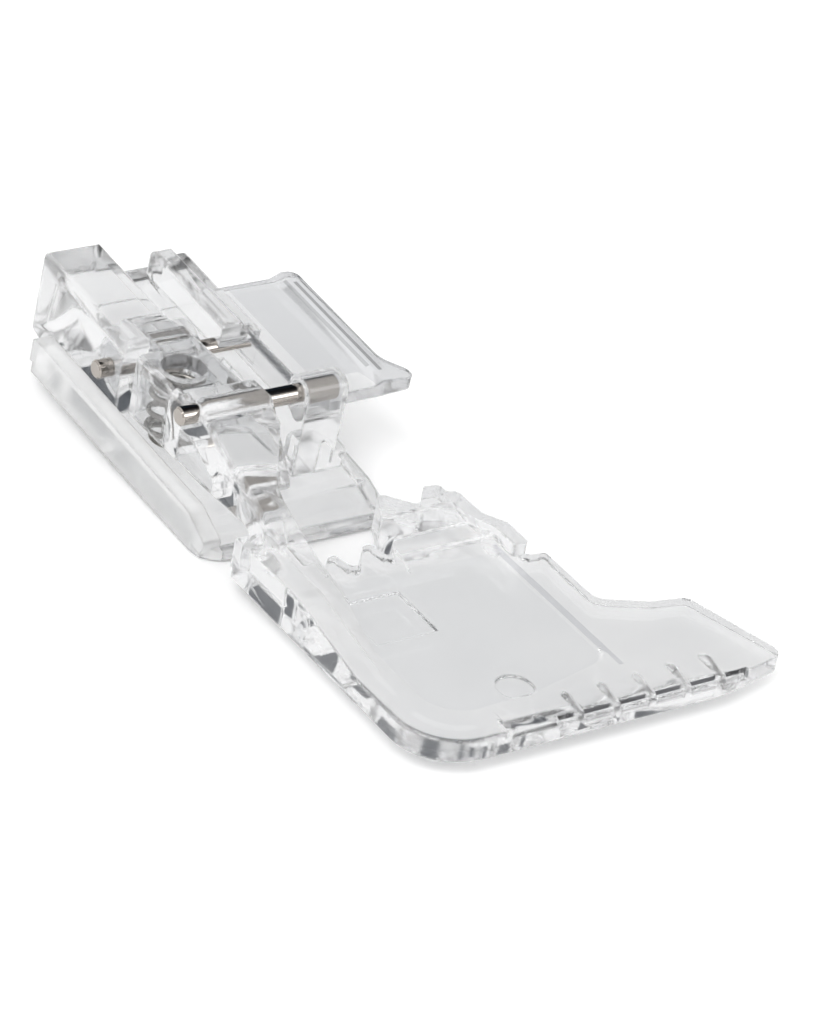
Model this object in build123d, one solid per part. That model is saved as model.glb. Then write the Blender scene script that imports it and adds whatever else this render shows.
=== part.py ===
from build123d import *
import os
from math import cos, radians, sin

os.makedirs("parts", exist_ok=True)

# All sizes are in millimetres. The origin is on the clip pin's axis, in the middle of its bare
# stretch. X runs to the right, Y to the rear and Z up, with both soles level at Z = -PIN_HEIGHT.

# Pins
PIN_RADIUS = 0.65
PIN_BREAK = 0.12
PIN_PROUD = 1.15
PIN_INSET = 0.32
PIN_HEIGHT = 6.8
PRESS_GAP = 0.015
RUN_GAP = 0.05
HINGE_BACK = 10.0
HINGE_DROP = 2.3

# Rocking of the heel
HEEL_DROP = 3.5
HEEL_TRAVEL = 7.0
SLOT_GAP = 0.14

# Gap for the holder and the two sides of it
BARE_WIDTH = 2.84
BEAM_WIDTH = 5.28
WALL_WIDTH = 3.1

# Beam and arm of the front moulding
BEAM_TOP = 0.25
BEAM_DEPTH = 4.45
BEAM_FRONT = 1.75
BEAM_ROUND = 0.45
COVER_WALL = 0.35
COVER_BACK = 1.15
COVER_FRONT = 0.85
COVER_RAMP = 0.9
CORE_WALL = 0.5
CORE_TOP = 2.0
CORE_BACK = 1.45
CORE_FRONT = 3.0
WEB_WIDTH = 0.8
WEB_REACH = 4.9
WEB_DROP = 0.05
ARM_WIDTH = 2.2
ARM_NECK = 7.2
EAR_RADIUS = 2.4
EAR_WIDTH = 1.95
EAR_GAP = 0.12
EAR_CLEAR = 0.2
EAR_FRONT = 1.3
BEAM_BACK = 2.9
TONGUE_WIDTH = 2.65

# Spring and its pocket
SPRING_BACK = 4.95
SPRING_IN = 2.3
SPRING_RADIUS = 1.45
SPRING_WIRE = 0.2
SPRING_TURNS = 5.0
POCKET_HALF = 1.85
POCKET_WALL = 0.45
POCKET_ROOF = 1.1
PORT_RADIUS = 1.55

# Toe plate
TOE_LEFT = 8.25
TOE_THICK = 1.75
TOE_FRONT = 31.3
TOE_REAR = 8.7
TOE_CORNER = 4.05
TOE_TIP = 20.3
TOE_RIM = 1.4
TOE_RIM_FLAT = 16.0
TOE_RIM_END = 23.2
FLOOR_DEPTH = 0.38
FLOOR_LEFT = 5.7
FLOOR_RIGHT = 9.0
FLOOR_REAR = 13.2
FLOOR_FRONT = 28.9
NOTCH_PITCH = 3.0
NOTCH_TIP = 10.1
NOTCH_DEPTH = 2.7
NOTCH_ROUND = 0.4
FINGER_EDGE = 2.55
FINGER_REAR = 7.2
FINGER_RISE = 0.85
FINGER_STEP = 0.2
FINGER_FOLD = 11.2
FINGER_CREST = 9.4
RAIL_RIGHT = 10.4
RAIL_WIDTH = 1.15
RAIL_RISE = 0.9
RIB_FIRST = 3.5
RIB_PITCH = 2.8
RIB_COUNT = 5
RIB_WIDTH = 0.75
RIB_RISE = 0.3
NOSE_LENGTH = 2.4
NOSE_EDGE = 1.2
NOSE_CROWN = 0.12
GUTTER_IN = 0.35
GUTTER_WIDTH = 0.3
GUTTER_DEPTH = 0.5
GUTTER_LEFT = 1.8
GUTTER_RIGHT = 16.9
TOE_BREAK = 0.16
FLOOR_SLOPE = 0.6
WING_FALL = 3.0
WING_RIDGE = 51.0
RECESS_SIDE = 1.1
RECESS_DEPTH = 0.7
DISC_RADIUS = 1.25
DISC_DEPTH = 0.15
PANEL_SIDE = 4.6
PANEL_DEPTH = 0.15

# Heel
HEEL_LEFT = 8.25
HEEL_REAR = 17.0
HEEL_NOSE = 6.4
HEEL_RIGHT = 6.5
SOLE_THICK = 1.5
SOLE_EDGE = 0.55
SOLE_FOLD = 3.2
LEDGE_WIDTH = 1.3
LEDGE_RISE = 2.55
CHEEK_HANG = 3.3
CHEEK_WIDTH = 4.7
CHEEK_TOP = 0.2
CHEEK_ROUND = 0.8
CHANNEL_FLOOR = 2.2
RAIL_HANG = 2.0
RAIL_FRONT = 9.4
HUMP_TOP = 0.1
HUMP_WIDTH = 1.5
RAIL_STEP = 0.95
RAIL_REACH = 4.6
SADDLE_TOP = 2.3
BOSS_TOP = 1.75
BOSS_FRONT = 1.1
BOSS_BACK = 1.15
BORDER_WIDTH = 1.1
BORDER_RISE = 0.3
FOOT_REACH = 1.0
FOOT_RISE = 1.4
PLATE_TOP = 0.75
PLATE_THICK = 0.9
PLATE_FRONT = 0.8
PLATE_BACK = 14.2
PLATE_REACH = 10.2
PLATE_FLARE = 1.2
FLARE_BACK = 3.3
LIP_RISE = 0.4
LIP_WIDTH = 2.0

# Stations that several pieces share
BEAM_RIGHT = -BARE_WIDTH / 2
BEAM_LEFT = BEAM_RIGHT - BEAM_WIDTH
WALL_LEFT = BARE_WIDTH / 2
WALL_RIGHT = WALL_LEFT + WALL_WIDTH
SOLE = -PIN_HEIGHT
TOE_TOP = SOLE + TOE_THICK
BEAM_FLOOR = BEAM_TOP - BEAM_DEPTH
PIN_START = BEAM_LEFT - PIN_PROUD
PIN_END = WALL_RIGHT - PIN_INSET
EAR_RIGHT = BEAM_LEFT + EAR_WIDTH
TONGUE_LEFT = EAR_RIGHT + EAR_GAP
TONGUE_RIGHT = TONGUE_LEFT + TONGUE_WIDTH
SOLE_TOP = SOLE + SOLE_THICK
CHEEK_BACK = HEEL_REAR + CHEEK_HANG
RAIL_BACK = HEEL_REAR + RAIL_HANG
SPRING_X = BEAM_LEFT + SPRING_IN
HINGE = (0, HINGE_BACK, -HINGE_DROP)


def plan(points, radii, low, high):
    """Upright solid between two heights, from an outline seen from above."""
    outline = make_face(FilletPolyline(*points, radius=radii, close=True))
    return extrude(Plane.XY.offset(low) * outline, amount=high - low, dir=(0, 0, 1))


def side(points, radii, left, right):
    """Solid between two X stations, from an outline of (Y, Z) points."""
    outline = make_face(FilletPolyline(*points, radius=radii, close=True))
    return extrude(Plane.YZ.offset(left) * outline, amount=right - left, dir=(1, 0, 0))


def front(points, radii, near, far):
    """Solid between two Y stations, from an outline of (X, Z) points."""
    outline = make_face(FilletPolyline(*points, radius=radii, close=True))
    face = Pos(0, near, 0) * (Rot(90, 0, 0) * outline)
    return extrude(face, amount=far - near, dir=(0, 1, 0))


def rod(back, height, radius, left, right):
    """Round bar along X."""
    return Pos((left + right) / 2, back, height) * Rot(0, 90, 0) * Cylinder(radius, right - left)


def block(left, right, near, far, low, high):
    """Box between six stations."""
    middle = Pos((left + right) / 2, (near + far) / 2, (low + high) / 2)
    return middle * Box(right - left, far - near, high - low)


def swing(shape, angle):
    """Turn a piece of the heel about the hinge, positive with the nose down."""
    return Pos(*HINGE) * Rot(angle, 0, 0) * Pos(*[-value for value in HINGE]) * shape


def pin(back, height):
    """Steel pin along X with its ends broken."""
    return chamfer(rod(back, height, PIN_RADIUS, PIN_START, PIN_END).edges(), PIN_BREAK)


# Where the clip pin stands in the level heel at the two ends of the rocking
def pin_in_heel(angle):
    back = HINGE_BACK - HINGE_BACK * cos(angle) + HINGE_DROP * sin(angle)
    height = -HINGE_DROP + HINGE_BACK * sin(angle) + HINGE_DROP * cos(angle)
    return back, height


clip_pin = pin(0, 0)
hinge_pin = pin(HINGE_BACK, -HINGE_DROP)

# Toe plate: fingers with needle notches at the rear, wing at the right
tip = -NOTCH_TIP
valley = -NOTCH_TIP - NOTCH_DEPTH
first = FINGER_EDGE - 0.9
toe_points = [
    (-TOE_LEFT, -TOE_REAR, 0.3),
    (-TOE_LEFT, -TOE_FRONT, TOE_CORNER),
    (TOE_TIP - 5.5, -TOE_FRONT, 9.0),
    (TOE_TIP + 0.2, -TOE_FRONT + 1.15, 0.9),
    (TOE_TIP - 2.5, -TOE_FRONT + 8.35, 0.8),
    (TOE_TIP - 5.25, -TOE_FRONT + 8.8, 1.2),
    (RAIL_RIGHT + 1.45, -TOE_FRONT + 10.3, 1.0),
    (RAIL_RIGHT + 1.45, -FLOOR_REAR - 2.15, 0.5),
    (RAIL_RIGHT, -FLOOR_REAR - 2.0, 0.3),
    (RAIL_RIGHT, -FLOOR_REAR + 0.5, 0.8),
    (RAIL_RIGHT - 1.0, -FLOOR_REAR + 2.0, 1.0),
    (RAIL_RIGHT - 1.05, -FINGER_REAR - 1.2, 0.4),
    (RAIL_RIGHT - 1.75, -FINGER_REAR - 0.9, 0.3),
    (RAIL_RIGHT - 1.75, -FINGER_REAR - 0.1, 0.4),
    (FINGER_EDGE + 4.9, -FINGER_REAR + 0.1, 0.5),
    (FINGER_EDGE + 3.45, -FINGER_REAR - 1.75, 0.5),
    (FINGER_EDGE + 1.4, -FINGER_REAR + 0.5, 0.5),
    (FINGER_EDGE, -NOTCH_TIP + 0.5, 0.8),
    (FINGER_EDGE - 0.1, -NOTCH_TIP - 1.2, 0.3),
    (first, valley, NOTCH_ROUND),
    (first - 0.65, tip, NOTCH_ROUND),
    (first - NOTCH_PITCH, valley, NOTCH_ROUND),
    (first - NOTCH_PITCH - 0.6, tip - 0.4, NOTCH_ROUND),
    (BEAM_LEFT + ARM_WIDTH + 0.4, valley, NOTCH_ROUND),
    (BEAM_LEFT + ARM_WIDTH, valley + 0.2, 0.0),
    (BEAM_LEFT + ARM_WIDTH, -TOE_REAR, 0.0),
]
toe_plate = plan([p[:2] for p in toe_points], [p[2] for p in toe_points], SOLE, TOE_TOP)
toe_rims = toe_plate.faces().filter_by(Axis.Z)
toe_plate = chamfer(toe_rims.edges(), TOE_BREAK)

# Front edge of the plate falls to a rounded nose, with a narrow gutter behind its lip
nose = side(
    [
        (-TOE_FRONT - 1.0, SOLE + NOSE_EDGE),
        (-TOE_FRONT, SOLE + NOSE_EDGE),
        (-TOE_FRONT + NOSE_LENGTH * 0.45, TOE_TOP - NOSE_CROWN),
        (-TOE_FRONT + NOSE_LENGTH, TOE_TOP),
        (-TOE_FRONT + NOSE_LENGTH, TOE_TOP + 1.0),
        (-TOE_FRONT - 1.0, TOE_TOP + 1.0),
    ],
    [0.0, 0.2, 2.0, 0.0, 0.0, 0.0],
    FLOOR_RIGHT - 11.0,
    TOE_TIP + 1.0,
)
toe_plate -= nose
gutter = block(
    GUTTER_LEFT,
    GUTTER_RIGHT,
    -TOE_FRONT + GUTTER_IN,
    -TOE_FRONT + GUTTER_IN + GUTTER_WIDTH,
    SOLE + NOSE_EDGE - GUTTER_DEPTH,
    TOE_TOP,
)
toe_plate -= gutter

# Small three-cornered recess at the left end of the nose
recess_left = FLOOR_RIGHT - 11.3
recess_front = -TOE_FRONT + 0.3
toe_plate -= plan(
    [
        (recess_left, recess_front + RECESS_SIDE),
        (recess_left, recess_front),
        (recess_left + RECESS_SIDE, recess_front + RECESS_SIDE / 4),
    ],
    [0.1, 0.1, 0.1],
    TOE_TOP - RECESS_DEPTH,
    TOE_TOP + 1.0,
)

# Right half of the wing falls away from a slanting ridge
ridge_middle = Pos(TOE_TIP - 8.0, -TOE_FRONT + 5.6, TOE_TOP)
falling = Rot(0, 0, WING_RIDGE - 90) * Rot(0, WING_FALL, 0) * Pos(TOE_TIP / 2, 0, TOE_THICK)
toe_plate -= ridge_middle * falling * Box(TOE_TIP, 12.0, 2 * TOE_THICK)

# Shallow floor of the plate
floor_points = [
    (-FLOOR_LEFT, -FLOOR_REAR),
    (-FLOOR_LEFT, -FLOOR_FRONT),
    (FLOOR_RIGHT - 6.5, -FLOOR_FRONT + 0.5),
    (FLOOR_RIGHT, -FLOOR_FRONT + 1.9),
    (FLOOR_RIGHT, -FLOOR_REAR),
]
floor = plan(floor_points, [1.2, 3.2, 4.0, 2.0, 1.4], TOE_TOP - FLOOR_DEPTH, TOE_TOP + FLOOR_SLOPE)
floor = chamfer(floor.faces().sort_by(Axis.Z)[0].edges(), FLOOR_DEPTH, FLOOR_SLOPE)
toe_plate -= floor

# Left rim, high beside the arm and falling to the plate
rim = side(
    [
        (-TOE_REAR, SOLE + TOE_THICK / 2),
        (-TOE_REAR, TOE_TOP + TOE_RIM),
        (-TOE_RIM_FLAT, TOE_TOP + TOE_RIM),
        (-TOE_RIM_END, TOE_TOP),
        (-TOE_RIM_END, SOLE + TOE_THICK / 2),
    ],
    [0.0, 0.3, 5.0, 0.0, 0.0],
    -TOE_LEFT,
    BEAM_LEFT + 0.3,
)

# Arm and beam: the outline from above meets the outline from the side
arm_plan = plan(
    [
        (BEAM_LEFT, HINGE_BACK - EAR_CLEAR),
        (BEAM_LEFT, -TOE_RIM_END),
        (BEAM_LEFT + 0.8, -TOE_RIM_END),
        (BEAM_LEFT + ARM_WIDTH, -TOE_RIM_FLAT),
        (BEAM_LEFT + ARM_WIDTH, -ARM_NECK),
        (BEAM_RIGHT, -BEAM_FRONT - 0.6),
        (BEAM_RIGHT, HINGE_BACK - EAR_CLEAR),
    ],
    [0.0, 0.0, 0.3, 2.0, 4.0, 1.2, 0.0],
    SOLE - 1.0,
    BEAM_TOP + 2.0,
)
arm_profile = side(
    [
        (HINGE_BACK, BEAM_TOP),
        (-BEAM_FRONT, BEAM_TOP),
        (-BEAM_FRONT - 4.2, BEAM_TOP - 1.55),
        (-BEAM_FRONT - 10.2, TOE_TOP + 1.45),
        (-TOE_RIM_END + 4.5, TOE_TOP + 0.25),
        (-TOE_RIM_END, TOE_TOP - 0.3),
        (-TOE_RIM_END, SOLE + TOE_THICK / 3),
        (-TOE_REAR, SOLE + TOE_THICK / 3),
        (-TOE_REAR + 0.7, BEAM_FLOOR + 0.3),
        (-BEAM_FRONT, BEAM_FLOOR),
        (HINGE_BACK, BEAM_FLOOR),
    ],
    [0.0, 2.5, 8.0, 12.0, 6.0, 0.0, 0.0, 0.0, 1.0, 2.0, 0.0],
    BEAM_LEFT,
    BEAM_RIGHT,
)
arm_ridge = arm_profile.edges().filter_by(lambda edge: edge.center().Z > BEAM_TOP - 0.5)
arm_ridge = arm_ridge.filter_by(lambda edge: edge.length > BEAM_ROUND and abs(edge.tangent_at(0.5).X) < 0.1)
beam = arm_plan & fillet(arm_ridge, BEAM_ROUND)

# Raised cover over the clip pin, rounded at its left end
cover_top = PIN_RADIUS + COVER_WALL
cover = side(
    [
        (COVER_BACK + COVER_RAMP, 0.0),
        (COVER_BACK, cover_top),
        (-COVER_FRONT, cover_top),
        (-COVER_FRONT - COVER_RAMP, 0.0),
    ],
    [0.0, 0.6, 0.9, 0.0],
    BEAM_LEFT,
    BEAM_RIGHT,
)
cover &= front(
    [
        (BEAM_LEFT, 0.0),
        (BEAM_LEFT + COVER_WALL, cover_top),
        (BEAM_RIGHT, cover_top),
        (BEAM_RIGHT, 0.0),
    ],
    [0.0, 0.6, 0.25, 0.0],
    -COVER_FRONT - COVER_RAMP,
    COVER_BACK + COVER_RAMP,
)
beam += cover

# Right web under the beam
web = side(
    [
        (CORE_BACK, BEAM_FLOOR - WEB_DROP),
        (CORE_BACK, -CORE_TOP),
        (-BEAM_FRONT - 0.4, BEAM_TOP - 1.0),
        (-BEAM_FRONT - 1.8, -CORE_TOP - 0.3),
        (-WEB_REACH, BEAM_FLOOR - WEB_DROP),
    ],
    [0.0, 0.0, 0.8, 2.0, 0.4],
    BEAM_RIGHT - WEB_WIDTH,
    BEAM_RIGHT,
)
beam += web
ear_room = rod(HINGE_BACK, -HINGE_DROP, EAR_RADIUS + EAR_CLEAR, BEAM_LEFT - 1, BEAM_RIGHT + 1)
beam -= ear_room
beam -= block(
    BEAM_LEFT - 1.0,
    TONGUE_LEFT,
    HINGE_BACK - BEAM_BACK,
    HINGE_BACK + 1.0,
    BEAM_FLOOR - 1.0,
    BEAM_TOP + 1.0,
)
tongue = rod(HINGE_BACK, -HINGE_DROP, EAR_RADIUS, TONGUE_LEFT, TONGUE_RIGHT)
tongue += block(
    TONGUE_LEFT,
    TONGUE_RIGHT,
    HINGE_BACK - EAR_RADIUS - EAR_CLEAR - 1.5,
    HINGE_BACK,
    -HINGE_DROP - EAR_RADIUS * 0.6,
    -HINGE_DROP + EAR_RADIUS * 0.9,
)

# Rail on the right finger
rail = plan(
    [
        (RAIL_RIGHT, -FLOOR_REAR - 2.0),
        (RAIL_RIGHT, -FLOOR_REAR + 0.5),
        (RAIL_RIGHT - 1.0, -FLOOR_REAR + 2.0),
        (RAIL_RIGHT - 1.05, -FINGER_REAR - 1.2),
        (RAIL_RIGHT - 1.05 - RAIL_WIDTH, -FINGER_REAR - 1.2),
        (RAIL_RIGHT - 1.0 - RAIL_WIDTH, -FLOOR_REAR + 2.2),
        (RAIL_RIGHT - RAIL_WIDTH, -FLOOR_REAR + 0.3),
        (RAIL_RIGHT - RAIL_WIDTH, -FLOOR_REAR - 2.0),
    ],
    [0.3, 0.8, 1.0, 0.4, 0.4, 0.8, 0.8, 0.3],
    TOE_TOP - 0.3,
    TOE_TOP + RAIL_RISE,
)

# The right finger climbs gently to the rear
finger_climb = side(
    [
        (-FLOOR_REAR - 0.9, TOE_TOP - TOE_THICK / 2),
        (-FLOOR_REAR - 0.9, TOE_TOP - FLOOR_DEPTH),
        (-FLOOR_REAR + 0.4, TOE_TOP + FINGER_STEP),
        (-FINGER_FOLD, TOE_TOP + FINGER_STEP + 0.15),
        (-FINGER_CREST, TOE_TOP + FINGER_RISE),
        (-FINGER_REAR + 1.0, TOE_TOP + FINGER_RISE),
        (-FINGER_REAR + 1.0, TOE_TOP - TOE_THICK / 2),
    ],
    [0.0, 0.0, 0.9, 1.2, 1.5, 0.0, 0.0],
    FINGER_EDGE - 0.5,
    RAIL_RIGHT - 0.6,
)
finger_pad = finger_climb & plan(
    [p[:2] for p in toe_points],
    [p[2] for p in toe_points],
    TOE_TOP - TOE_THICK / 2,
    TOE_TOP + FINGER_RISE + 1.0,
)

# Guide ribs down the nose, each with a rounded back and a foot over the gutter
rib_foot = -TOE_FRONT + GUTTER_IN - 0.1
rib_base = SOLE + NOSE_EDGE - GUTTER_DEPTH
ribs = None
for number in range(RIB_COUNT):
    middle = RIB_FIRST + number * RIB_PITCH
    rib = side(
        [
            (rib_foot, rib_base),
            (rib_foot, SOLE + NOSE_EDGE + RIB_RISE),
            (-TOE_FRONT + NOSE_LENGTH - 0.3, TOE_TOP + RIB_RISE),
            (-TOE_FRONT + NOSE_LENGTH + 0.6, TOE_TOP - FLOOR_DEPTH / 2),
            (-TOE_FRONT + NOSE_LENGTH + 0.6, rib_base),
        ],
        [0.0, 0.3, 0.8, 0.0, 0.0],
        middle - RIB_WIDTH / 2,
        middle + RIB_WIDTH / 2,
    )
    back = rib.edges().filter_by(lambda edge: edge.center().Z > SOLE + NOSE_EDGE)
    rib = chamfer(back.filter_by(lambda edge: abs(edge.center().X - middle) > RIB_WIDTH / 3), RIB_WIDTH * 0.3)
    ribs = rib if ribs is None else ribs + rib

toe_sole = toe_plate + rim + beam + tongue + rail + finger_pad + ribs

# Bare square panel and ejector disc, both sunk in the floor
panel_middle = Pos(-FLOOR_LEFT + PANEL_SIDE * 0.75, -FLOOR_REAR - PANEL_SIDE, TOE_TOP - FLOOR_DEPTH)
toe_sole -= panel_middle * Box(PANEL_SIDE, PANEL_SIDE, 2 * PANEL_DEPTH)
disc_middle = Pos(FLOOR_LEFT - 4.5, -FLOOR_FRONT + 1.9, TOE_TOP - FLOOR_DEPTH)
toe_sole -= disc_middle * Cylinder(DISC_RADIUS, 2 * DISC_DEPTH)

# Bores for the two pins
toe_sole -= rod(0, 0, PIN_RADIUS + PRESS_GAP, PIN_START, BEAM_RIGHT + 1.0)
toe_sole -= rod(HINGE_BACK, -HINGE_DROP, PIN_RADIUS + RUN_GAP, TONGUE_LEFT - 1, TONGUE_RIGHT + 1)

# Spring pocket with a thin left wall, and its round port
pocket = plan(
    [
        (BEAM_LEFT + POCKET_WALL, SPRING_BACK - POCKET_HALF),
        (SPRING_X + POCKET_HALF, SPRING_BACK - POCKET_HALF),
        (SPRING_X + POCKET_HALF, SPRING_BACK + POCKET_HALF),
        (BEAM_LEFT + POCKET_WALL, SPRING_BACK + POCKET_HALF),
    ],
    [0.3, 0.5, 0.5, 0.3],
    BEAM_FLOOR - 1.0,
    BEAM_TOP - POCKET_ROOF,
)
toe_sole -= pocket
toe_sole -= Pos(SPRING_X, SPRING_BACK, BEAM_TOP) * Cylinder(PORT_RADIUS, 2 * POCKET_ROOF + 1.0)

# Arched core under the clip pin
core = side(
    [
        (CORE_BACK, BEAM_FLOOR - 1.0),
        (CORE_BACK, -CORE_TOP),
        (0.0, -CORE_TOP),
        (-CORE_FRONT, -CORE_TOP - 1.4),
        (-CORE_FRONT, BEAM_FLOOR - 1.0),
    ],
    [0.0, 0.3, 2.5, 0.5, 0.0],
    BEAM_LEFT + CORE_WALL,
    BEAM_RIGHT - WEB_WIDTH,
)
toe_sole -= core

# Heel, drawn level. Sole with the ledge at the left and a thin front edge
sole = side(
    [
        (HEEL_REAR, SOLE),
        (HEEL_REAR, SOLE_TOP),
        (-SOLE_FOLD, SOLE_TOP),
        (-HEEL_NOSE, SOLE + SOLE_EDGE + 0.25),
        (-HEEL_NOSE, SOLE + 0.25),
        (-HEEL_NOSE + 1.2, SOLE),
    ],
    [0.0, 0.0, 2.0, 0.2, 0.2, 1.5],
    -HEEL_LEFT,
    HEEL_RIGHT,
)
sole &= plan(
    [
        (-HEEL_LEFT, HEEL_REAR),
        (-HEEL_LEFT, -HEEL_NOSE),
        (HEEL_RIGHT - 0.3, -HEEL_NOSE),
        (HEEL_RIGHT, 1.0),
        (WALL_RIGHT, 2.0),
        (WALL_RIGHT, HEEL_REAR),
    ],
    [0.5, 2.2, 0.8, 0.6, 0.3, 0.4],
    SOLE - 1.0,
    SOLE_TOP + 1.0,
)
ledge = side(
    [
        (HEEL_REAR, SOLE + SOLE_THICK / 2),
        (HEEL_REAR, SOLE + LEDGE_RISE),
        (-SOLE_FOLD, SOLE + LEDGE_RISE),
        (-HEEL_NOSE + 0.5, SOLE + SOLE_EDGE + 0.9),
        (-HEEL_NOSE + 0.9, SOLE + 0.45),
        (-SOLE_FOLD, SOLE + SOLE_THICK / 2),
    ],
    [0.0, 0.3, 2.5, 0.3, 0.0, 0.0],
    -HEEL_LEFT,
    -HEEL_LEFT + LEDGE_WIDTH,
)

# Raised border along the sole's right edge
border = plan(
    [
        (HEEL_RIGHT - BORDER_WIDTH, 1.5),
        (HEEL_RIGHT - 0.3 - BORDER_WIDTH, -HEEL_NOSE + 0.9),
        (HEEL_RIGHT - 0.4, -HEEL_NOSE + 0.9),
        (HEEL_RIGHT - 0.1, 1.5),
    ],
    [0.0, 0.3, 0.3, 0.0],
    SOLE + SOLE_THICK / 3,
    SOLE_TOP + BORDER_RISE,
)
border &= side(
    [
        (1.5, SOLE + SOLE_THICK / 3),
        (1.5, SOLE_TOP + BORDER_RISE),
        (-SOLE_FOLD, SOLE_TOP + BORDER_RISE),
        (-HEEL_NOSE, SOLE + SOLE_EDGE + 0.25 + BORDER_RISE),
        (-HEEL_NOSE, SOLE + SOLE_THICK / 3),
    ],
    [0.0, 0.0, 2.0, 0.0, 0.0],
    HEEL_RIGHT - 2 * BORDER_WIDTH,
    HEEL_RIGHT,
)

# Rear cheek with its two hinge ears: side outline, plan outline and cross-section meet
ear_front = HINGE_BACK - EAR_FRONT
cheek = side(
    [
        (ear_front, SOLE + SOLE_THICK / 2),
        (HEEL_REAR - 0.2, SOLE + SOLE_THICK / 2),
        (CHEEK_BACK, SOLE + SOLE_THICK),
        (CHEEK_BACK, CHEEK_TOP),
        (ear_front, CHEEK_TOP),
    ],
    [0.0, 1.5, 0.8, 0.35, 0.6],
    BEAM_LEFT,
    BEAM_LEFT + CHEEK_WIDTH,
)
cheek &= plan(
    [
        (BEAM_LEFT, ear_front),
        (BEAM_LEFT, CHEEK_BACK),
        (BEAM_LEFT + CHEEK_WIDTH, CHEEK_BACK),
        (BEAM_LEFT + CHEEK_WIDTH, ear_front),
    ],
    [0.0, 1.0, 0.4, 0.0],
    SOLE,
    CHEEK_TOP,
)
cheek &= front(
    [
        (BEAM_LEFT, SOLE),
        (BEAM_LEFT, CHEEK_TOP),
        (BEAM_LEFT + CHEEK_WIDTH, CHEEK_TOP),
        (BEAM_LEFT + CHEEK_WIDTH, SOLE),
    ],
    [0.0, CHEEK_ROUND, 0.3, 0.0],
    ear_front,
    CHEEK_BACK,
)
ear_block = block(
    BEAM_LEFT,
    WALL_LEFT + 0.5,
    HINGE_BACK - EAR_RADIUS * 0.55,
    HINGE_BACK + 0.5,
    SOLE + SOLE_THICK / 2,
    -HINGE_DROP,
)
right_ear = rod(HINGE_BACK, -HINGE_DROP, EAR_RADIUS, TONGUE_RIGHT, TONGUE_RIGHT + EAR_GAP + EAR_WIDTH / 2)

# Channel floor between the cheek and the rail
channel = side(
    [
        (HINGE_BACK, SOLE + SOLE_THICK / 2),
        (HEEL_REAR - 0.2, SOLE + SOLE_THICK / 2),
        (CHEEK_BACK - 0.2, SOLE + SOLE_THICK),
        (CHEEK_BACK - 0.2, -CHANNEL_FLOOR),
        (HINGE_BACK, -CHANNEL_FLOOR),
    ],
    [0.0, 0.5, 0.6, 0.5, 0.0],
    BEAM_LEFT + CHEEK_WIDTH - 0.5,
    WALL_LEFT + 1.0,
)

# Rail with a high and a low hump, saddle and boss of the right wall
rail_base = SOLE + SOLE_THICK / 2
heel_rail = side(
    [
        (RAIL_FRONT, rail_base),
        (HEEL_REAR - 0.2, rail_base),
        (RAIL_BACK, SOLE + SOLE_THICK),
        (RAIL_BACK, -HUMP_TOP),
        (RAIL_FRONT, -HUMP_TOP),
    ],
    [0.0, 1.5, 0.8, 0.6, 0.6],
    WALL_LEFT,
    RAIL_REACH,
)
heel_rail &= front(
    [
        (WALL_LEFT, rail_base),
        (WALL_LEFT, -HUMP_TOP),
        (WALL_LEFT + HUMP_WIDTH, -HUMP_TOP),
        (WALL_LEFT + HUMP_WIDTH + 0.3, -RAIL_STEP),
        (RAIL_REACH, -RAIL_STEP),
        (RAIL_REACH, rail_base),
    ],
    [0.0, 0.5, 0.5, 0.4, 0.5, 0.0],
    RAIL_FRONT,
    RAIL_BACK,
)
wall = side(
    [
        (RAIL_FRONT + 0.5, SOLE + SOLE_THICK / 2),
        (RAIL_FRONT + 0.5, -SADDLE_TOP),
        (BOSS_BACK + 2.4, -SADDLE_TOP),
        (BOSS_BACK + 0.3, -SADDLE_TOP + 1.9),
        (BOSS_BACK, BOSS_TOP),
        (-BOSS_FRONT, BOSS_TOP),
        (-BOSS_FRONT, SOLE + SOLE_THICK / 2),
    ],
    [0.0, 0.0, 1.0, 0.8, 0.8, 0.9, 0.0],
    WALL_LEFT,
    WALL_RIGHT,
)
foot = side(
    [
        (2.0, SOLE + SOLE_THICK / 2),
        (2.0, SOLE_TOP + FOOT_RISE),
        (-BOSS_FRONT, SOLE_TOP + FOOT_RISE),
        (-BOSS_FRONT, SOLE + SOLE_THICK / 2),
    ],
    [0.0, 0.5, 0.4, 0.0],
    WALL_LEFT + 0.3,
    WALL_RIGHT + FOOT_REACH,
)

# Finger plate at the right: a raised bead along its edge, flared out at the front
plate_outline = plan(
    [
        (WALL_RIGHT - 1.0, PLATE_FRONT),
        (PLATE_REACH + PLATE_FLARE, PLATE_FRONT),
        (PLATE_REACH + PLATE_FLARE, PLATE_FRONT + PLATE_THICK),
        (PLATE_REACH, FLARE_BACK),
        (PLATE_REACH, PLATE_BACK),
        (WALL_RIGHT - 1.0, PLATE_BACK),
    ],
    [0.0, 0.4, 0.4, 1.8, 0.7, 0.0],
    -PLATE_TOP - PLATE_THICK - 1.0,
    -PLATE_TOP + LIP_RISE + 1.0,
)
plate_section = front(
    [
        (WALL_RIGHT - 1.0, -PLATE_TOP - PLATE_THICK),
        (PLATE_REACH - LIP_WIDTH + 0.4, -PLATE_TOP - PLATE_THICK),
        (PLATE_REACH + PLATE_FLARE + 0.5, -PLATE_TOP - PLATE_THICK + LIP_RISE / 2),
        (PLATE_REACH + PLATE_FLARE + 0.5, -PLATE_TOP + LIP_RISE / 2),
        (PLATE_REACH - LIP_WIDTH + 0.8, -PLATE_TOP + LIP_RISE),
        (PLATE_REACH - LIP_WIDTH, -PLATE_TOP),
        (WALL_RIGHT - 1.0, -PLATE_TOP),
    ],
    [0.0, 2.5, 0.0, 0.0, 0.7, 0.7, 0.0],
    PLATE_FRONT - 0.5,
    PLATE_BACK + 0.5,
)
plate = plate_outline & plate_section

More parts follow.
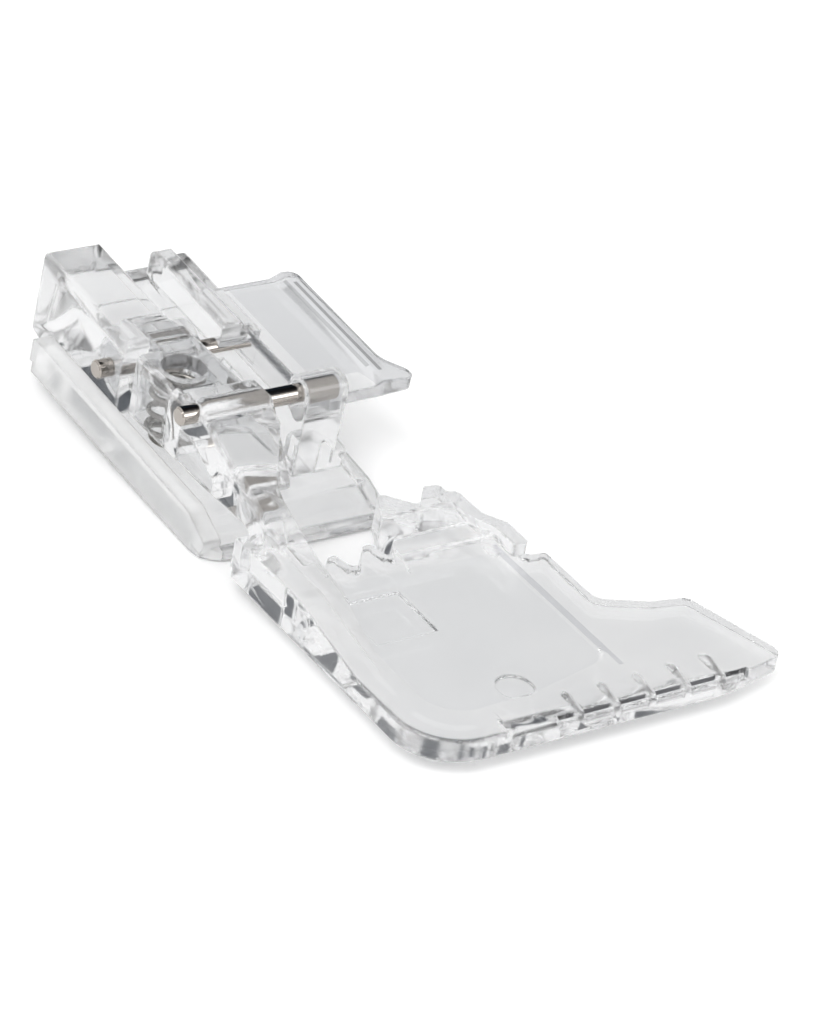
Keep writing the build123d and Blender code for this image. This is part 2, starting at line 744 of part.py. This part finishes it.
heel_sole = sole + ledge + border + cheek + ear_block + right_ear + channel + heel_rail
heel_sole += wall + foot + plate

# Room for the tongue between the ears
heel_sole -= rod(
    HINGE_BACK,
    -HINGE_DROP,
    EAR_RADIUS + EAR_CLEAR,
    TONGUE_LEFT - EAR_GAP,
    TONGUE_RIGHT + EAR_GAP,
)
heel_sole -= block(
    TONGUE_LEFT - EAR_GAP,
    TONGUE_RIGHT + EAR_GAP,
    HINGE_BACK - 2 * EAR_RADIUS,
    HINGE_BACK,
    -HINGE_DROP - EAR_RADIUS - EAR_CLEAR,
    CHEEK_TOP + 1.0,
)

# Bore for the hinge pin and stop slot for the clip pin
heel_sole -= rod(HINGE_BACK, -HINGE_DROP, PIN_RADIUS + PRESS_GAP, PIN_START, PIN_END + 0.1)
slot_top = pin_in_heel(radians(HEEL_DROP))
slot_bottom = pin_in_heel(radians(HEEL_DROP - HEEL_TRAVEL))
slot_half = PIN_RADIUS + SLOT_GAP
slot_points = [slot_top, slot_bottom]
slot_right = PIN_END + 0.1
for station in slot_points:
    heel_sole -= rod(station[0], station[1], slot_half, WALL_LEFT - 1.0, slot_right)
heel_sole -= side(
    [
        (slot_top[0] - slot_half, slot_top[1]),
        (slot_top[0] + slot_half, slot_top[1]),
        (slot_bottom[0] + slot_half, slot_bottom[1]),
        (slot_bottom[0] - slot_half, slot_bottom[1]),
    ],
    [0.0, 0.0, 0.0, 0.0],
    WALL_LEFT - 1.0,
    slot_right,
)
heel_sole = swing(heel_sole, HEEL_DROP)

# Spring between the shoulder of its pocket and the heel's sole
roof = BEAM_TOP - POCKET_ROOF
lever = HINGE_BACK - SPRING_BACK
rest = radians(HEEL_DROP)
seat = -HINGE_DROP - lever * sin(rest) + (SOLE_TOP + HINGE_DROP) * cos(rest)
spring_low = seat + SPRING_WIRE + 0.12
spring_high = roof - SPRING_WIRE - 0.02
coil_pitch = (spring_high - spring_low) / SPRING_TURNS
coil = Helix(coil_pitch, spring_high - spring_low, SPRING_RADIUS)
start = Plane(origin=coil @ 0, z_dir=coil % 0)
compensating_spring = sweep(start * RegularPolygon(SPRING_WIRE, 8), path=coil, is_frenet=True)
compensating_spring = Pos(SPRING_X, SPRING_BACK, spring_low) * compensating_spring

export_step(toe_sole, "parts/toe_sole.step")
export_step(heel_sole, "parts/heel_sole.step")
export_step(hinge_pin, "parts/hinge_pin.step")
export_step(clip_pin, "parts/clip_pin.step")
export_step(compensating_spring, "parts/compensating_spring.step")
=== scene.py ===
import bpy
import bmesh
import math
import numpy as np
from collections import namedtuple
from mathutils import Matrix, Vector


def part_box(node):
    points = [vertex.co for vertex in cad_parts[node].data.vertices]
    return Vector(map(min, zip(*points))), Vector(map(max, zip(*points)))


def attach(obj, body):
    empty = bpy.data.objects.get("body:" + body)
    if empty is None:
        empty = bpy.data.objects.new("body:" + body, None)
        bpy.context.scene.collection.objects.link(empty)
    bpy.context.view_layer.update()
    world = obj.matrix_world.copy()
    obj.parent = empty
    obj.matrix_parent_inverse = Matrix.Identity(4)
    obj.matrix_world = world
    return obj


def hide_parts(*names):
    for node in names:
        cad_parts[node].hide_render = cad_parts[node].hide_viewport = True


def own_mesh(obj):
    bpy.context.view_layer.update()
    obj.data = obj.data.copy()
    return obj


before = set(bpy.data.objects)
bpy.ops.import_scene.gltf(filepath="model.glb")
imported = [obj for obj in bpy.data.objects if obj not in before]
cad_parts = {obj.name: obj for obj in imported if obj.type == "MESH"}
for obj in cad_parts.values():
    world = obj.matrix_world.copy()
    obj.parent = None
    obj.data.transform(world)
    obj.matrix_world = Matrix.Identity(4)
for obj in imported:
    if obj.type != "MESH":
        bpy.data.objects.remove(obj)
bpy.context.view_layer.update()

# Blender counts in metres. Lengths below are in millimetres, unless their comment says metres
MM = 0.001

# Camera of the photograph: picture and focal length in pixels, pixels to a millimetre at the clip pin,
# angles in degrees, the pixel where the middle of the bare clip pin lies, and the sensor's width
PICTURE = (819, 1024)
FOCAL = 4300.0
PIXELS_PER_MM = 15.35
AZIMUTH, ELEVATION, ROLL = -39.9, 31.7, -11.2
PIN_PIXEL = (280.0, 396.3)
SENSOR = 36.0

# Nearest and farthest thing that the camera shows, in metres
CLIP_NEAR, CLIP_FAR = 0.01, 20.0

# Colours of each finish from its dark patches to its light ones, and where on a noise the two lie
CLEAR_TONES = ((0.86, 0.867, 0.875, 1.0), (0.94, 0.943, 0.946, 1.0))
PIN_TONES = ((0.37, 0.34, 0.31, 1.0), (0.45, 0.42, 0.39, 1.0))
WIRE_TONES = ((0.20, 0.19, 0.18, 1.0), (0.34, 0.33, 0.31, 1.0))
TONE_ENDS = (0.3, 0.7)
FROST_TONE = (0.93, 0.93, 0.93, 1.0)
PAPER = (0.92, 0.92, 0.92, 1.0)
WHITE = (1.0, 1.0, 1.0, 1.0)

# Layers of a noise and how strongly the finer ones show, for fine patches and for the plastic's soft waves
FINE_DETAIL, FINE_CRISPNESS = 3.0, 0.5
WAVE_DETAIL, WAVE_CRISPNESS = 1.0, 0.4

# Clear plastic: refraction, roughness of each moulding, softening of the edges, flow waves and haze with
# their patches to the metre, the waves' height, the haze's part in the tone and its share of frost
PLASTIC_IOR = 1.49
TOE_DULLING, HEEL_DULLING = 0.01, 0.05
EDGE_ROUND = 0.25
EDGE_SAMPLES = 4
WAVES_TO_METRE, HAZE_TO_METRE = 140.0, 900.0
WAVE_HEIGHT, WAVE_STRENGTH = 0.2, 0.02
HAZE_IN_TONE = 0.25
HAZE_FROST = 0.05

# A zone is a box in a moulding where the plastic differs in finish, or where shade and dark refraction lines
# are painted into its tone:
# its low and high corner, its tone, the roughness that it adds and its share of frost
Zone = namedtuple("Zone", "low high tone dull frost")
# Painted shade: the sunk floor of the toe is toned darker than the wing
SUNK_FLOOR_PAINTED_SHADE = Zone((-5.6, -28.8, -5.8), (9.0, -13.2, -5.36), (0.83, 0.84, 0.85, 1.0), 0.0, 0.02)
# Painted shade: the wall of the spring's port is dark grey, as if in shadow
PORT_PAINTED_SHADE = Zone((-6.0, 3.35, -0.84), (-2.8, 6.55, 0.2), (0.16, 0.16, 0.165, 1.0), 0.25, 0.0)
# Painted shade: a darker line along the crease between the floor and the wing
WING_SEAM_PAINTED_SHADE = Zone((8.7, -27.8, -5.5), (9.05, -13.6, -5.0), (0.6, 0.61, 0.64, 1.0), 0.0, 0.0)
# Painted shade and dark reflection: a near-black strip in the gutter below the nose's ribs
GUTTER_PAINTED_SHADE_AND_REFLECTION = Zone((1.85, -30.67, -6.15), (16.85, -30.6, -5.38), (0.01, 0.01, 0.012, 1.0), 0.1, 0.0)
LEDGE = Zone((-8.4, -8.0, -7.6), (-6.95, 18.0, -2.0), (0.93, 0.93, 0.93, 1.0), 0.16, 0.32)
FINGER_PLATE = Zone((4.6, 0.0, -1.2), (16.0, 16.0, 2.0), (0.64, 0.65, 0.67, 1.0), 0.03, 0.03)
# Painted dark refraction lines along both sides of the finger plate's bead
BEAD_INNER_PAINTED_REFRACTION = Zone((8.7, 2.6, -1.3), (8.95, 13.2, 1.0), (0.3, 0.31, 0.32, 1.0), 0.0, 0.0)
BEAD_OUTER_PAINTED_REFRACTION = Zone((9.25, 1.9, -1.3), (9.55, 12.8, 1.0), (0.16, 0.165, 0.17, 1.0), 0.0, 0.0)
TOE_ZONES = [SUNK_FLOOR_PAINTED_SHADE, PORT_PAINTED_SHADE, WING_SEAM_PAINTED_SHADE, GUTTER_PAINTED_SHADE_AND_REFLECTION]
HEEL_ZONES = [LEDGE, FINGER_PLATE, BEAD_INNER_PAINTED_REFRACTION, BEAD_OUTER_PAINTED_REFRACTION]

# Steel: grinding marks of the pins to the metre along and across, their height, and stains of the wire
MARKS_TO_METRE = (9000.0, 300.0, 300.0)
MARK_HEIGHT, MARK_STRENGTH = 0.01, 0.03
PIN_POLISH, PIN_GRINDING = 0.08, 0.06
STAINS_TO_METRE = 1800.0
WIRE_POLISH, WIRE_STAINING = 0.2, 0.15

# Copies of the mouldings: distance of points that are merged, angles in degrees up to which faces are one
# and from which edges stay sharp, and the pull of large faces on the shading
MERGE_WITHIN = 0.002
ONE_FACE_ANGLE = 0.5
SHARP_ANGLE = 40.0
LARGE_FACE_PULL = 100

# Coil spring: wire radius, turns, how far the end turns close, and points to a turn and round the wire
SPRING_WIRE = 0.2
SPRING_TURNS = 5
END_CLOSING = 0.75
TURN_POINTS = 36
WIRE_POINTS = 14

# Floor: its gap below the part, its reach in metres, and its share of plain white as clear pieces show it
FLOOR_GAP = 0.02
FLOOR_REACH = 0.6
FLOOR_GLOW = 0.8

# Softboxes: place, target and side in metres, power in watts
SOFTBOXES = {
    "left_box": ((-0.28, -0.12, 0.38), (0.0, -0.01, 0.0), 0.3, 1.1),
    "front_box": ((0.22, -0.28, 0.18), (0.0, 0.0, 0.0), 0.15, 0.25),
}

# Cards: bearing from the rear towards the right in degrees, distance, width, lower and upper edge in
# metres, colour, and whether clear pieces show the card as shiny ones do
CARDS = {
    "dark_side": (75.0, 0.22, 0.55, 0.0, 0.45, (0.01, 0.01, 0.012, 1.0), False),
    "blue_flag": (43.0, 0.25, 0.20, 0.05, 0.25, (0.02, 0.03, 0.045, 1.0), True),
}

# How many walls of clear plastic light may meet before it leaves
BOUNCES = 24


class Node:
    """A shader socket that takes part in Python arithmetic; each operator adds one Math node."""

    def __init__(self, tree, socket):
        self.tree = tree
        self.socket = socket

    def make(self, kind, settings=None, inputs=None, output=0):
        """Adds a node of any type: first its settings are set, then the values or links of its inputs."""
        node = self.tree.nodes.new(kind)
        for name, value in (settings or {}).items():
            if name == "stops":
                for stop, (place, colour) in zip(node.color_ramp.elements, value):
                    stop.position = place
                    stop.color = colour
            else:
                setattr(node, name, value)
        for name, value in (inputs or {}).items():
            if isinstance(value, Node):
                self.tree.links.new(value.socket, node.inputs[name])
            else:
                node.inputs[name].default_value = value
        return Node(self.tree, node.outputs[output])

    def maths(self, operation, *values):
        return self.make("ShaderNodeMath", {"operation": operation}, dict(enumerate(values)))

    def __add__(self, other):
        return self.maths("ADD", self, other)

    __radd__ = __add__

    def __mul__(self, other):
        return self.maths("MULTIPLY", self, other)

    __rmul__ = __mul__

    def __gt__(self, other):
        return self.maths("GREATER_THAN", self, other)

    def __lt__(self, other):
        return self.maths("LESS_THAN", self, other)


def new_material(name):
    """Empty material; gives it and its output's Surface as a first Node to work from."""
    material = bpy.data.materials.new(name)
    material.use_nodes = True
    tree = material.node_tree
    tree.nodes.clear()
    output = tree.nodes.new("ShaderNodeOutputMaterial")
    return material, Node(tree, output.inputs["Surface"])


def finish_with(start, shader):
    """Links a shader to the output that a first Node stands for."""
    start.tree.links.new(shader.socket, start.socket)


def mottle(start, place, scale, detail=FINE_DETAIL, crispness=FINE_CRISPNESS):
    """Cloudy noise from 0 to 1."""
    inputs = {"Vector": place, "Scale": scale, "Detail": detail, "Roughness": crispness}
    return start.make("ShaderNodeTexNoise", {}, inputs, "Fac")


def toned(start, tones, share):
    """Colour that runs from a finish's dark tone to its light one."""
    stops = list(zip(TONE_ENDS, tones))
    return start.make("ShaderNodeValToRGB", {"stops": stops}, {"Fac": share}, "Color")


def glowing(start, colour):
    """Plain light of one colour, whatever falls on it."""
    return start.make("ShaderNodeEmission", {}, {"Color": colour, "Strength": 1.0}, "Emission")


def mixed(start, share, first, second):
    """Two shaders, with the second one's share."""
    return start.make("ShaderNodeMixShader", {}, {0: share, 1: first, 2: second}, "Shader")


def clear_plastic(name, dulling, zones):
    """Water-clear moulding: softened edges, faint flow waves in its polish and tone, and a little haze.
    Each zone brings its own tone, roughness and frost inside its box; the tones of some zones are painted
    shade and painted dark refraction lines."""
    material, start = new_material(name)
    place = start.make("ShaderNodeTexCoord", output="Object")
    steps = [start.make("ShaderNodeSeparateXYZ", {}, {"Vector": place}, axis) for axis in "XYZ"]
    waves = mottle(start, place, WAVES_TO_METRE, WAVE_DETAIL, WAVE_CRISPNESS)
    haze = mottle(start, place, HAZE_TO_METRE)
    edges = start.make("ShaderNodeBevel", {"samples": EDGE_SAMPLES}, {"Radius": EDGE_ROUND * MM}, "Normal")
    relief = {"Strength": WAVE_STRENGTH, "Distance": WAVE_HEIGHT * MM, "Height": waves, "Normal": edges}
    skin = start.make("ShaderNodeBump", {}, relief, "Normal")
    tone = toned(start, CLEAR_TONES, HAZE_IN_TONE * haze + (1 - HAZE_IN_TONE) * waves)
    rough = dulling + haze * dulling
    frost = haze * HAZE_FROST
    for zone in zones:
        inside = 1.0
        for along, least, most in zip(steps, zone.low, zone.high):
            inside = (along > least * MM) * (along < most * MM) * inside
        layers = {"Fac": inside, "Color1": tone, "Color2": zone.tone}
        tone = start.make("ShaderNodeMixRGB", {}, layers, "Color")
        rough = rough + inside * zone.dull
        frost = frost + inside * zone.frost
    surface = {"Base Color": tone, "Roughness": rough, "Normal": skin, "IOR": PLASTIC_IOR,
               "Transmission Weight": 1.0}
    clear = start.make("ShaderNodeBsdfPrincipled", {}, surface, "BSDF")
    milk = start.make("ShaderNodeBsdfDiffuse", {}, {"Color": FROST_TONE, "Normal": skin}, "BSDF")
    finish_with(start, mixed(start, frost, clear, milk))
    return material


def pin_steel():
    """Ground steel pin: fine rings round the axis and a warm grey tone."""
    material, start = new_material("pin_steel")
    place = start.make("ShaderNodeTexCoord", output="Object")
    squeezed = start.make("ShaderNodeMapping", {}, {"Vector": place, "Scale": MARKS_TO_METRE})
    rings = mottle(start, squeezed, 1.0)
    relief = {"Strength": MARK_STRENGTH, "Distance": MARK_HEIGHT * MM, "Height": rings}
    grain = start.make("ShaderNodeBump", {}, relief, "Normal")
    surface = {"Base Color": toned(start, PIN_TONES, rings), "Metallic": 1.0,
               "Roughness": PIN_POLISH + rings * PIN_GRINDING, "Normal": grain}
    finish_with(start, start.make("ShaderNodeBsdfPrincipled", {}, surface, "BSDF"))
    return material


def spring_steel():
    """Spring wire: darker steel with slight oil stains."""
    material, start = new_material("spring_steel")
    place = start.make("ShaderNodeTexCoord", output="Object")
    stain = mottle(start, place, STAINS_TO_METRE)
    surface = {"Base Color": toned(start, WIRE_TONES, stain), "Metallic": 1.0,
               "Roughness": WIRE_POLISH + stain * WIRE_STAINING}
    finish_with(start, start.make("ShaderNodeBsdfPrincipled", {}, surface, "BSDF"))
    return material


TOE_CLEAR = clear_plastic("toe_plastic", TOE_DULLING, TOE_ZONES)
HEEL_CLEAR = clear_plastic("heel_plastic", HEEL_DULLING, HEEL_ZONES)
PIN = pin_steel()
SPRING = spring_steel()


def dress(piece, material):
    """Gives a piece one material."""
    piece.data.materials.clear()
    piece.data.materials.append(material)


def into_scene(name, data):
    """New object at the origin for a mesh, a camera or a lamp."""
    thing = bpy.data.objects.new(name, data)
    bpy.context.scene.collection.objects.link(thing)
    return thing


def moulded_copy(node, name, body, material):
    """Look of a moulding: the solid's mesh with its doubles merged and its flat faces kept flat in
    shading."""
    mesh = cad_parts[node].data.copy()
    mesh.name = name
    work = bmesh.new()
    work.from_mesh(mesh)
    bmesh.ops.remove_doubles(work, verts=work.verts, dist=MERGE_WITHIN * MM)
    one_face = math.radians(ONE_FACE_ANGLE)
    bmesh.ops.dissolve_limit(work, angle_limit=one_face, verts=work.verts, edges=work.edges)
    work.to_mesh(mesh)
    work.free()
    piece = into_scene(name, mesh)
    mesh.shade_smooth()
    mesh.set_sharp_from_angle(angle=math.radians(SHARP_ANGLE))
    facing = piece.modifiers.new("flat_faces_lead", "WEIGHTED_NORMAL")
    facing.mode = "FACE_AREA"
    facing.weight = LARGE_FACE_PULL
    facing.keep_sharp = True
    dress(piece, material)
    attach(piece, body)
    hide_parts(node)


for node, name, body, material in (("toe_sole", "toe_moulding", "front", TOE_CLEAR),
                                   ("heel_sole", "heel_moulding", "heel", HEEL_CLEAR)):
    dress(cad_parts[node], material)
    moulded_copy(node, name, body, material)
for node in ("clip_pin", "hinge_pin"):
    dress(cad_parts[node], PIN)
dress(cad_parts["compensating_spring"], SPRING)


def round_wire_spring():
    """Coil spring of round wire. The middle of the wire climbs on a circle, and its height follows the turn
    with an S-curve, so the end turns lie nearly closed. Round it runs a ring of points at the wire's radius,
    turned into the plane across the path."""
    low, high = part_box("compensating_spring")
    middle = (low + high) / 2
    wire = SPRING_WIRE * MM
    reach = (high.x - low.x) / 2 - wire
    along = np.linspace(0.0, 1.0, SPRING_TURNS * TURN_POINTS + 1)
    turn = 2 * math.pi * SPRING_TURNS * along
    rise = along - END_CLOSING * np.sin(2 * math.pi * along) / (2 * math.pi)
    path = np.stack([middle.x + reach * np.cos(turn), middle.y + reach * np.sin(turn),
                     low.z + wire + (high.z - low.z - 2 * wire) * rise], axis=1)
    ahead = np.gradient(path, axis=0)
    ahead /= np.linalg.norm(ahead, axis=1, keepdims=True)
    outward = np.stack([np.cos(turn), np.sin(turn), np.zeros_like(turn)], axis=1)
    upward = np.cross(ahead, outward)
    ring = np.linspace(0.0, 2 * math.pi, WIRE_POINTS, endpoint=False)
    points = path[:, None] + wire * (np.cos(ring)[None, :, None] * outward[:, None]
                                     + np.sin(ring)[None, :, None] * upward[:, None])
    rows, columns = points.shape[:2]
    grid = np.arange(rows * columns).reshape(rows, columns)
    beside = np.roll(grid, -1, 1)
    walls = np.stack([grid[:-1], grid[1:], beside[1:], beside[:-1]], axis=-1)
    caps = [grid[0].tolist(), grid[-1, ::-1].tolist()]
    mesh = bpy.data.meshes.new("spring_coil")
    mesh.from_pydata(points.reshape(-1, 3).tolist(), [], walls.reshape(-1, 4).tolist() + caps)
    work = bmesh.new()
    work.from_mesh(mesh)
    bmesh.ops.recalc_face_normals(work, faces=work.faces)
    work.to_mesh(mesh)
    work.free()
    mesh.shade_smooth()
    coil = into_scene("spring_coil", mesh)
    dress(coil, SPRING)
    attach(coil, "front")
    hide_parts("compensating_spring")
    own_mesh(coil)


round_wire_spring()


def photo_camera():
    """Pinhole camera from the photograph: turned by azimuth, elevation and roll, and set back along its view
    until the clip pin lies on its pixel. The sensor's width lies along the picture's longer side."""
    az, el, roll = (math.radians(angle) for angle in (AZIMUTH, ELEVATION, ROLL))
    right = np.array([math.cos(az), math.sin(az), 0.0])
    ahead = np.array([-math.sin(az) * math.cos(el), math.cos(az) * math.cos(el), -math.sin(el)])
    down = np.cross(ahead, right)
    across = math.cos(roll) * right + math.sin(roll) * down
    drop = -math.sin(roll) * right + math.cos(roll) * down
    aside = (PIN_PIXEL[0] - PICTURE[0] / 2) / FOCAL
    below = (PIN_PIXEL[1] - PICTURE[1] / 2) / FOCAL
    distance = FOCAL / PIXELS_PER_MM * MM
    eye = -distance * (aside * across + below * drop + ahead)
    data = bpy.data.cameras.new("photo_camera")
    data.sensor_width = SENSOR
    data.lens = FOCAL / PICTURE[1] * SENSOR
    data.clip_start, data.clip_end = CLIP_NEAR, CLIP_FAR
    camera = into_scene("photo_camera", data)
    camera.matrix_world = Matrix((
        (across[0], -drop[0], -ahead[0], eye[0]),
        (across[1], -drop[1], -ahead[1], eye[1]),
        (across[2], -drop[2], -ahead[2], eye[2]),
        (0, 0, 0, 1)))
    bpy.context.scene.camera = camera


photo_camera()


def flat_sheet(name, corners):
    """Four-cornered sheet from its corner points, in metres."""
    mesh = bpy.data.meshes.new(name)
    mesh.from_pydata([tuple(c) for c in corners], [], [(0, 1, 2, 3)])
    sheet = into_scene(name, mesh)
    return sheet


def pale_floor():
    """White table: matt paper, and mostly plain white where a clear piece shows it."""
    material, start = new_material("pale_floor")
    paper = start.make("ShaderNodeBsdfDiffuse", {}, {"Color": PAPER}, "BSDF")
    seen_through = start.make("ShaderNodeLightPath", output="Is Transmission Ray") * FLOOR_GLOW
    finish_with(start, mixed(start, seen_through, paper, glowing(start, WHITE)))
    level = min(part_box("heel_sole")[0].z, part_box("toe_sole")[0].z) - FLOOR_GAP * MM
    square = ((-1, -1), (1, -1), (1, 1), (-1, 1))
    sheet = flat_sheet("floor", [(x * FLOOR_REACH, y * FLOOR_REACH, level) for x, y in square])
    sheet.data.materials.append(material)


pale_floor()


def soft_lamp(name, place, target, side, power):
    """Square softbox that faces a point. Clear pieces show the plain room in its place."""
    data = bpy.data.lights.new(name, "AREA")
    data.shape = "SQUARE"
    data.size = side
    data.energy = power
    lamp = into_scene(name, data)
    lamp.location = place
    lamp.rotation_euler = (Vector(target) - Vector(place)).to_track_quat("-Z", "Y").to_euler()
    lamp.visible_transmission = False


def studio_card(name, bearing, distance, width, low, high, colour, through_clear):
    """Upright card round the object that only shiny pieces show, and clear ones where asked."""
    turn = math.radians(bearing)
    away = np.array([math.sin(turn), math.cos(turn)]) * distance
    along = np.array([math.cos(turn), -math.sin(turn)]) * width / 2
    left, right = away - along, away + along
    card = flat_sheet(name, [(*left, low), (*right, low), (*right, high), (*left, high)])
    material, start = new_material(name)
    finish_with(start, glowing(start, colour))
    card.data.materials.append(material)
    card.visible_camera = card.visible_diffuse = card.visible_shadow = False
    card.visible_transmission = through_clear


for name, values in SOFTBOXES.items():
    soft_lamp(name, *values)
for name, values in CARDS.items():
    studio_card(name, *values)


def bright_room():
    """Even white light from all round."""
    world = bpy.data.worlds.new("bright_room")
    bpy.context.scene.world = world
    world.use_nodes = True
    world.node_tree.nodes.clear()
    output = world.node_tree.nodes.new("ShaderNodeOutputWorld")
    start = Node(world.node_tree, output.inputs["Surface"])
    light = {"Color": WHITE, "Strength": 1.0}
    finish_with(start, start.make("ShaderNodeBackground", {}, light, "Background"))


bright_room()
bpy.context.scene.view_settings.view_transform = "Standard"
paths = bpy.context.scene.cycles
paths.max_bounces = paths.transmission_bounces = paths.glossy_bounces = BOUNCES
